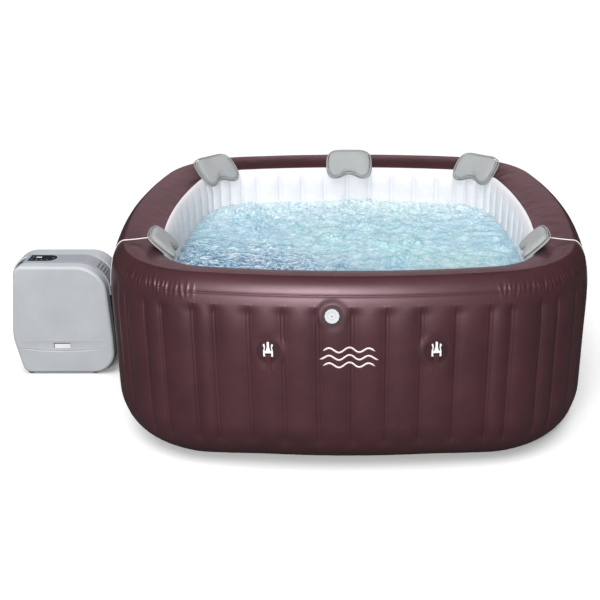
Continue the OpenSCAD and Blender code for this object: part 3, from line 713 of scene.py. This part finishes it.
def droplets():
    """Small drops thrown up where the water boils hardest."""
    verts, faces = [], []
    wanted = DROPS
    while wanted:
        s = random.uniform(0, ROUND)
        p, n = plan(s)
        q = (p - n * (LINER_D + 0.03)) * math.sqrt(random.uniform(0.02, 1))
        v = Vector((q.x, q.y, 0))
        burst = smooth((fractal(v + Vector((5, 2, 0)), 4.5, 3) - 0.05) / 0.4)
        if random.random() > 0.06 + burst:
            continue
        r = random.uniform(0.0012, 0.0034)
        lift = random.uniform(0.0, 0.028) * (0.3 + burst)
        c = Vector((q.x, q.y, WATER_Z + water_height(v, 1) + r + lift))
        base = len(verts)
        verts += [c + Vector(o) * r for o in DROP_SHAPE]
        for k in range(4):
            faces.append((base + k, base + (k + 1) % 4, base + 4))
            faces.append((base + (k + 1) % 4, base + k, base + 5))
        wanted -= 1
    return make_mesh("drops", verts, faces)


# ---- Headrest pillows ----
PAD_HALF_W = 0.120
PAD_HALF_H = 0.090
PAD_TILT = math.radians(44)
PAD_D, PAD_Z = 0.220, 0.788


def pad_outline(n, shrink=0.0):
    """Kidney-shaped outline: rounded top, narrower at the bottom, with a hollow in the lower edge."""
    pts = []
    for i in range(n):
        a = 2 * math.pi * i / n
        c, k = math.cos(a), math.sin(a)
        x = math.copysign(abs(c) ** 0.46, c) * (PAD_HALF_W - shrink)
        y = math.copysign(abs(k) ** 0.50, k) * (PAD_HALF_H - shrink)
        if y < 0:
            x *= 1 - 0.05 * (-y / PAD_HALF_H)
            y += 0.036 * bump_at(x, 0, 0.050) * (-y / PAD_HALF_H)
        else:
            x *= 1 - 0.06 * (y / PAD_HALF_H) ** 2
        pts.append(Vector((x, y, 0)))
    return pts


def pad_layer(name, thick, lift, shrink):
    """One stuffed layer of a pillow: two domed faces that meet at a seam."""
    n, rings = 160, 22
    edge = pad_outline(n, shrink)
    rows = []
    for side in (1, -1):
        half = []
        for i in range(rings):
            t = i / rings
            dome = (1 - (1 - t) ** 2.6) ** 0.42
            z = side * thick / 2 * dome
            half.append([Vector((p.x * (1 - t), p.y * (1 - t) - 0.004 * t, lift + z)) for p in edge])
        half.append([Vector((0, -0.004, lift + side * thick / 2))] * n)
        rows += half[::-1] if side == 1 else half[1:]
    return grid(name, rows, close_u=True)


def weld(ob, dist=0.0002):
    """Joins points that lie on each other."""
    m = ob.modifiers.new("weld", "WELD")
    m.merge_threshold = dist
    apply_all(ob)


def apply_all(ob):
    """Turns the object's modifiers into plain geometry."""
    deps = bpy.context.evaluated_depsgraph_get()
    me = bpy.data.meshes.new_from_object(ob.evaluated_get(deps))
    ob.modifiers.clear()
    ob.data = me


def stuff(ob, cap, pressure=4.0):
    """Inflates a soft layer with a short cloth run, then limits how far each point may move."""
    remesh = ob.modifiers.new("remesh", "REMESH")
    remesh.mode = "VOXEL"
    remesh.voxel_size = 0.0045
    apply_all(ob)
    before = [v.co.copy() for v in ob.data.vertices]
    cloth = ob.modifiers.new("cloth", "CLOTH")
    cs = cloth.settings
    cs.quality = 6
    cs.mass = 0.2
    cs.tension_stiffness = 12
    cs.compression_stiffness = 12
    cs.bending_stiffness = 0.6
    cs.use_pressure = True
    cs.uniform_pressure_force = pressure
    cs.effector_weights.gravity = 0
    cloth.point_cache.frame_start = 1
    cloth.point_cache.frame_end = 20
    scene = bpy.context.scene
    for f in range(1, 21):
        scene.frame_set(f)
    apply_all(ob)
    scene.frame_set(1)
    for v, old in zip(ob.data.vertices, before):
        move = v.co - old
        if move.length > cap:
            v.co = old + move.normalized() * cap
    ob.data.update()
    ob.modifiers.new("finer", "SUBSURF").levels = 1
    apply_all(ob)


def join(name, parts):
    """Joins meshes, with their materials, into one new object and removes the parts."""
    verts, faces, mats, index = [], [], [], []
    for ob in parts:
        base = len(verts)
        slot_map = []
        for m in ob.data.materials:
            if m not in mats:
                mats.append(m)
            slot_map.append(mats.index(m))
        verts += [ob.matrix_world @ v.co for v in ob.data.vertices]
        for p in ob.data.polygons:
            faces.append(tuple(base + i for i in p.vertices))
            index.append(slot_map[p.material_index] if slot_map else 0)
        bpy.data.objects.remove(ob)
    out = make_mesh(name, verts, faces)
    for m in mats:
        out.data.materials.append(m)
    out.data.polygons.foreach_set("material_index", index)
    return out


def pillow_pieces():
    """One pillow in its own flat frame: X across, Y up its face, Z out of its face."""
    front = pad_layer("pad_front", 0.026, 0.004, 0.006)
    rear = pad_layer("pad_rear", 0.014, -0.011, 0.003)
    for ob, cap in ((front, 0.005), (rear, 0.003)):
        weld(ob)
        stuff(ob, cap)
    piping_front = tube("piping_front", [Vector((p.x, p.y, 0.004)) for p in pad_outline(160, 0.005)],
                        0.0026, closed=True)
    piping_rear = tube("piping_rear", [Vector((p.x, p.y, -0.011)) for p in pad_outline(160, 0.002)],
                       0.0026, closed=True)
    for ob in (front, rear, piping_front, piping_rear):
        paint(ob, "grey_pad")
    return join("pillow_master", [front, rear, piping_front, piping_rear])


def place_pillow(master, name, s, bend_r, face_s):
    """Copies the master to the rim at distance s, bent to follow it and square to the rim at face_s."""
    me = master.data.copy()
    _, n = plan(face_s)
    inward = Vector((-n.x, -n.y, 0))
    along = Vector((-n.y, n.x, 0))
    face = inward * math.sin(PAD_TILT) + Vector((0, 0, math.cos(PAD_TILT)))
    up = -inward * math.cos(PAD_TILT) + Vector((0, 0, math.sin(PAD_TILT)))
    centre = at(s, PAD_D, PAD_Z)
    size = SIDE_PAD if face_s != s else 1.0
    for v in me.vertices:
        x, y, z = v.co * size
        a = x / bend_r
        r = bend_r - z
        v.co = centre + along * (r * math.sin(a)) + face * (bend_r - r * math.cos(a)) + up * y
    ob = bpy.data.objects.new(name, me)
    bpy.context.scene.collection.objects.link(ob)
    return ob


# name, place round the rim, radius it is bent to, place it is square to
PILLOWS = (("back", side_s(BACK, 0), 3.2, side_s(BACK, 0)),
           ("back_left", side_s(BACK, PILLOW_CORNER_S), 0.50, side_s(BACK, PILLOW_CORNER_S)),
           ("back_right", side_s(RIGHT, PILLOW_CORNER_S), 0.50, side_s(RIGHT, PILLOW_CORNER_S)),
           ("front_left", side_s(LEFT, PILLOW_SIDE_S), 0.8, side_s(LEFT, 0.25)),
           ("front_right", side_s(FRONT, QUARTER - PILLOW_SIDE_S), 0.8, side_s(FRONT, QUARTER - 0.25)))
SIDE_PAD = 0.82         # size of the two side pillows next to the others


def build_pillows():
    """The five headrests, all copies of one master."""
    master = pillow_pieces()
    for i, (name, s, bend_r, face_s) in enumerate(PILLOWS):
        ob = place_pillow(master, "pillow_" + name, s, bend_r, face_s)
        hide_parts("pillow_%d" % (i + 1))
        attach(ob, "headrest_" + name)
    bpy.data.objects.remove(master)


def tape_line():
    """(d, z) from under the pillow, over the crest and down the outer wall to the anchor."""
    # taut between the pillow's back and the crest of the rim
    run = 12
    pts = [(TAPE_START - (TAPE_START - SHOULDER_W) * i / run, TUB_H + 0.007 * (1 - i / run) ** 1.5)
           for i in range(run + 1)]
    for i in range(1, 41):
        a = math.pi / 2 * (1 - i / 44)
        pts.append((SHOULDER_W * (1 - math.cos(a)), WALL_TOP + SHOULDER_H * math.sin(a)))
    return pts


def build_tapes():
    """Elastic tape from under each pillow, over the rim and down the outer wall to its anchor."""
    section = tape_line()
    parts = []
    for _, s, _, _ in PILLOWS:
        p, n = plan(s)
        inward = Vector((-n.x, -n.y, 0))
        pts = []
        for i, (d, z) in enumerate(section):
            a, b = section[max(i - 1, 0)], section[min(i + 1, len(section) - 1)]
            t = Vector((b[0] - a[0], b[1] - a[1])).normalized()
            lift = 0.0024 + SKIN_SPREAD
            pts.append(Vector((p.x, p.y, z - lift * t.x)) + inward * (d + lift * t.y))
        parts.append(tube("tape", pts, 0.0048, 0.36, 12))
    ob = join("pillow_tapes", parts)
    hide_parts("pillow_cords")
    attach(ob, "tub")
    paint(ob, "white_cord")


# ---- Printed mark on the front ----
EMBLEM_Z = 0.509
EMBLEM_HALF = 0.108


def build_emblem():
    """Three rows of waves printed on the front wall, following its skin."""
    parts = []
    for row in (-1, 0, 1):
        half = EMBLEM_HALF - 0.012 * abs(row)
        steps = 90
        edges = ([], [])
        for i in range(steps + 1):
            x = -half + 2 * half * i / steps
            turn = 2 * math.pi * (x / 0.072 + 0.25)
            z = EMBLEM_Z - 0.030 * row + 0.0085 * math.sin(turn)
            slope = math.atan(0.0085 * 2 * math.pi / 0.072 * math.cos(turn))
            taper = 0.0034 * min(1.0, (half - abs(x)) / 0.012 + 0.15)
            for e, edge in zip((-1, 1), edges):
                s = side_s(FRONT, x - e * taper * math.sin(slope))
                h = z + e * taper * math.cos(slope)
                edge.append(at(s, -outer_relief(s, h) - 0.0012, h))
        parts.append(grid("wave", list(edges)))
    ob = join("front_emblem", parts)
    solidify(ob, 0.0006)
    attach(ob, "tub")
    paint(ob, "print")


# ---- Pump covers ----
PUMP_H = 0.537
FOOT_H = 0.006
COVER_FRONT_Y = -0.115
CORE_FRONT_Y = -0.060
CORE_BACK_Y = 0.042
COVER_BACK_Y = 0.145
SHELL_T = 0.003
BADGE_X, BADGE_Z = -1.334, 0.146
BADGE_W, BADGE_H = 0.073, 0.022
# corners of each cover seen from the front, as X, Z and corner radius
FRONT_COVER = ((-1.518, PUMP_H, 0.045), (-1.110, PUMP_H, 0.130), (-1.098, 0.180, 0.080),
               (-1.100, FOOT_H, 0.105), (-1.526, FOOT_H, 0.040), (-1.563, 0.190, 0.250))
REAR_COVER = ((-1.578, PUMP_H, 0.112), (-1.112, PUMP_H, 0.110), (-1.086, 0.180, 0.080),
              (-1.088, FOOT_H, 0.105), (-1.546, FOOT_H, 0.040), (-1.586, 0.190, 0.250))


def rounded_outline(corners, shrink):
    """Outline through rounded corners, moved inwards by shrink."""
    pts = []
    count = len(corners)
    for i in range(count):
        x, z, r = corners[i]
        here = Vector((x, z))
        u = (Vector(corners[i - 1][:2]) - here).normalized()
        v = (Vector(corners[(i + 1) % count][:2]) - here).normalized()
        half = math.acos(u.dot(v)) / 2
        r = max(0.004, r - shrink)
        mid = here + (u + v).normalized() * (r + shrink) / math.sin(half)
        across = (mid - here - u * (mid - here).dot(u)).normalized()
        start = here + u * (r + shrink) / math.tan(half) + across * shrink
        a0 = math.atan2(start.y - mid.y, start.x - mid.x)
        turn = math.pi - 2 * half
        for k in range(15):
            a = a0 - turn * k / 14
            pts.append(mid + r * Vector((math.cos(a), math.sin(a))))
    return pts


def slab(name, corners, y0, y1, shrink=0.0):
    """Closed slab of a cover's outline between two Y positions."""
    outline = rounded_outline(corners, shrink)
    n = len(outline)
    verts = [Vector((p.x, y, p.y)) for y in (y0, y1) for p in outline]
    faces = [tuple(reversed(range(n))), tuple(range(n, 2 * n))]
    faces += [(i, (i + 1) % n, n + (i + 1) % n, n + i) for i in range(n)]
    return make_mesh(name, verts, faces, False)


def box_mesh(name, x0, x1, y0, y1, z0, z1):
    """Closed box, used as a cutter or a printed mark."""
    verts = [(x, y, z) for z in (z0, z1) for y in (y0, y1) for x in (x0, x1)]
    faces = [(0, 2, 3, 1), (4, 5, 7, 6), (0, 1, 5, 4), (2, 6, 7, 3), (0, 4, 6, 2), (1, 3, 7, 5)]
    return make_mesh(name, verts, faces, False)


def outward(ob):
    """Makes all faces of a closed mesh point outwards."""
    bm = bmesh.new()
    bm.from_mesh(ob.data)
    bmesh.ops.recalc_face_normals(bm, faces=bm.faces)
    bm.to_mesh(ob.data)
    bm.free()


def round_edges(ob, near_y, big, small):
    """Rounds the rim of a slab: generously at near_y, slightly at its other face."""
    weights = ob.data.attributes.new("bevel_weight_edge", "FLOAT", "EDGE")
    for e in ob.data.edges:
        a, b = (ob.data.vertices[i].co.y for i in e.vertices)
        if abs(a - b) < 1e-6:
            weights.data[e.index].value = 1.0 if abs(a - near_y) < 1e-6 else small / big
    m = ob.modifiers.new("round", "BEVEL")
    m.limit_method = "WEIGHT"
    m.width = big
    m.segments = 7
    apply_all(ob)


def cut(ob, cutter):
    """Takes the cutter's volume out of a closed mesh and removes the cutter."""
    outward(cutter)
    m = ob.modifiers.new("cut", "BOOLEAN")
    m.operation = "DIFFERENCE"
    m.solver = "EXACT"
    m.object = cutter
    apply_all(ob)
    bpy.data.objects.remove(cutter)


def face_line(x0, x1, z_mid, sag, depth, radius, tall=1.0):
    """A long shallow groove across the front cover that fades out towards its ends."""
    pts = []
    for i in range(49):
        t = 2 * i / 48 - 1
        x = (x0 + x1) / 2 + t * (x1 - x0) / 2
        pts.append(Vector((x, COVER_FRONT_Y - radius + depth * (1 - t * t), z_mid + sag * t * t)))
    return tube("groove", pts, radius, tall, 16)


def finish_moulding(ob, node):
    """Smooth faces, crisp edges and the case's look; the piece stands for a CAD node."""
    ob.data.polygons.foreach_set("use_smooth", [True] * len(ob.data.polygons))
    ob.data.set_sharp_from_angle(angle=math.radians(32))
    m = ob.modifiers.new("normals", "WEIGHTED_NORMAL")
    m.keep_sharp = True
    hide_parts(node)
    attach(ob, "tub")
    paint(ob, "grey_case")


def build_pump_covers():
    """Front and back shells of the pump unit, with softly rounded faces."""
    front = slab("pump_front_shell", FRONT_COVER, COVER_FRONT_Y, CORE_FRONT_Y)
    outward(front)
    round_edges(front, COVER_FRONT_Y, 0.014, 0.0012)
    cut(front, slab("hollow", FRONT_COVER, COVER_FRONT_Y + 0.006, CORE_FRONT_Y + 0.01, SHELL_T + 0.002))
    cut(front, face_line(-1.541, -1.128, 0.120, 0.016, 0.0044, 0.0046))
    cut(front, face_line(-1.536, -1.134, 0.146, 0.010, 0.0022, 0.0022, 11.0))
    cut(front, face_line(-1.558, -1.112, 0.184, -0.004, 0.0016, 0.0018))
    cut(front, box_mesh("pocket", BADGE_X - BADGE_W / 2 - 0.004, BADGE_X + BADGE_W / 2 + 0.0005,
                        COVER_FRONT_Y - 0.01, COVER_FRONT_Y + 0.012,
                        BADGE_Z - BADGE_H / 2 - 0.0005, BADGE_Z + BADGE_H / 2 + 0.004))
    finish_moulding(front, "pump_front_cover")
    rear = slab("pump_rear_shell", REAR_COVER, CORE_BACK_Y, COVER_BACK_Y)
    outward(rear)
    round_edges(rear, COVER_BACK_Y, 0.016, 0.004)
    cut(rear, slab("hollow", REAR_COVER, CORE_BACK_Y - 0.01, COVER_BACK_Y - 0.006, SHELL_T + 0.004))
    finish_moulding(rear, "pump_rear_cover")


def build_panel_marks():
    """Lit display and its digit bars on the control panel."""
    top = 0.5436
    x, y = -1.430, 0.003
    lit = box_mesh("display", x - 0.013, x + 0.013, y - 0.009, y + 0.009, top, top + 0.0003)
    paint(lit, "display")
    digits = [box_mesh("bar", x + dx - 0.003, x + dx + 0.003, y + dy - 0.0006, y + dy + 0.0006,
                       top, top + 0.0005)
              for dx in (-0.005, 0.005) for dy in (-0.005, 0.0, 0.005)]
    for ob in digits:
        paint(ob, "black_gloss")
    ob = join("panel_display", [lit] + digits)
    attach(ob, "tub")


ROUNDED = {"pump_top_trim": 0.0018, "control_panel": 0.0006, "badge_plate": 0.0005, "valve_cap": 0.0007,
           "valve_body": 0.0005, "union_nut_inlet": 0.0015, "union_nut_outlet": 0.0015,
           "clip_buckle_1": 0.0006, "clip_buckle_2": 0.0006, "clip_buckle_3": 0.0006, "clip_buckle_4": 0.0006,
           "pump_feet": 0.0008, "cover_screws": 0.0003, "pump_core_casing": 0.0010}


def round_cad_edges():
    """Takes the sharpness off the moulded CAD parts' edges."""
    for name, width in ROUNDED.items():
        if name in NODES:
            m = NODES[name].modifiers.new("edge", "BEVEL")
            m.width = width
            m.segments = 2
            m.limit_method = "ANGLE"
            m.angle_limit = math.radians(40)


# ---- Camera, floor and light ----
CAMERA_PLACE = (0, -4.164, 2.009)
CAMERA_PITCH = 0.3831       # how far the camera looks down, in radians
CAMERA_LENS = 57.34
CAMERA_SHIFT = -0.0817
SOFT_LEVEL = 0.46           # strength of the room's light on surfaces
GLOSSY_LEVEL = 0.06         # strength of the room in reflections
FLOOR_HALF = 40


def build_stage():
    """Camera, plain pale floor and soft studio light."""
    scene = bpy.context.scene
    cam = bpy.data.cameras.new("camera")
    cam.lens = CAMERA_LENS
    cam.sensor_width = 36
    cam.shift_x = CAMERA_SHIFT
    ob = bpy.data.objects.new("camera", cam)
    ob.location = CAMERA_PLACE
    ob.rotation_euler = (math.pi / 2 - CAMERA_PITCH, 0, 0)
    scene.collection.objects.link(ob)
    scene.camera = ob
    corners = [(x * FLOOR_HALF, y * FLOOR_HALF, 0) for x, y in ((-1, -1), (1, -1), (1, 1), (-1, 1))]
    floor = make_mesh("floor", corners, [(0, 1, 2, 3)])
    k = Look("floor", rough=0.9, spec=0.0)
    path = k.node("ShaderNodeLightPath")
    seen = k.ramp(k.noise(2, 2), "Fac", [(0.3, srgb(250, 250, 250)), (0.7, srgb(254, 254, 254))])
    k.colour(k.mix(path, "Is Camera Ray", srgb(84, 82, 82), seen))
    floor.data.materials.append(k.mat)
    world = bpy.data.worlds.new("studio")
    scene.world = world
    world.use_nodes = True
    nt = world.node_tree
    plain = nt.nodes["Background"]
    plain.inputs[0].default_value = (1, 1, 1, 1)
    white = nt.nodes.new("ShaderNodeBackground")
    white.inputs[1].default_value = 1.0
    white.inputs[0].default_value = (1, 1, 1, 1)
    pick = nt.nodes.new("ShaderNodeMixShader")
    ray = nt.nodes.new("ShaderNodeLightPath")
    # the room is dimmer in reflections than as soft light
    level = nt.nodes.new("ShaderNodeMapRange")
    level.inputs["To Min"].default_value = SOFT_LEVEL
    level.inputs["To Max"].default_value = GLOSSY_LEVEL
    nt.links.new(ray.outputs["Is Glossy Ray"], level.inputs["Value"])
    nt.links.new(level.outputs["Result"], plain.inputs[1])
    nt.links.new(ray.outputs["Is Camera Ray"], pick.inputs[0])
    nt.links.new(plain.outputs[0], pick.inputs[1])
    nt.links.new(white.outputs[0], pick.inputs[2])
    nt.links.new(pick.outputs[0], nt.nodes["World Output"].inputs["Surface"])
    sun = bpy.data.lights.new("top_light", "SUN")
    sun.energy = 2.15
    sun.angle = math.radians(55)
    so = bpy.data.objects.new("top_light", sun)
    so.rotation_euler = Vector((0.06, 0.34, -1.0)).to_track_quat("-Z", "Y").to_euler()
    so.visible_glossy = False
    scene.collection.objects.link(so)
    soft = bpy.data.lights.new("front_light", "AREA")
    soft.shape = "RECTANGLE"
    soft.size = 1.7
    soft.size_y = 0.6
    soft.energy = 185
    fo = bpy.data.objects.new("front_light", soft)
    fo.location = (-0.6, -4.9, 2.05)
    fo.rotation_euler = (Vector((0, 0, 0.6)) - fo.location).to_track_quat("-Z", "Y").to_euler()
    scene.collection.objects.link(fo)
    # pale warm wall behind the tub, seen only in reflections
    back = bpy.data.lights.new("back_light", "AREA")
    back.shape = "RECTANGLE"
    back.size = 4.4
    back.size_y = 0.8
    back.energy = 20
    back.color = (1.0, 0.70, 0.77)
    bo = bpy.data.objects.new("back_light", back)
    bo.location = (0, 4.4, 1.95)
    bo.rotation_euler = (Vector((0, 0, 0.8)) - bo.location).to_track_quat("-Z", "Y").to_euler()
    bo.visible_camera = False
    bo.visible_diffuse = False
    scene.collection.objects.link(bo)
    scene.view_settings.view_transform = "Standard"


paint_cad()
build_outer_skin()
build_liner()
build_water()
build_pillows()
build_tapes()
build_emblem()
build_pump_covers()
build_panel_marks()
round_cad_edges()
build_stage()
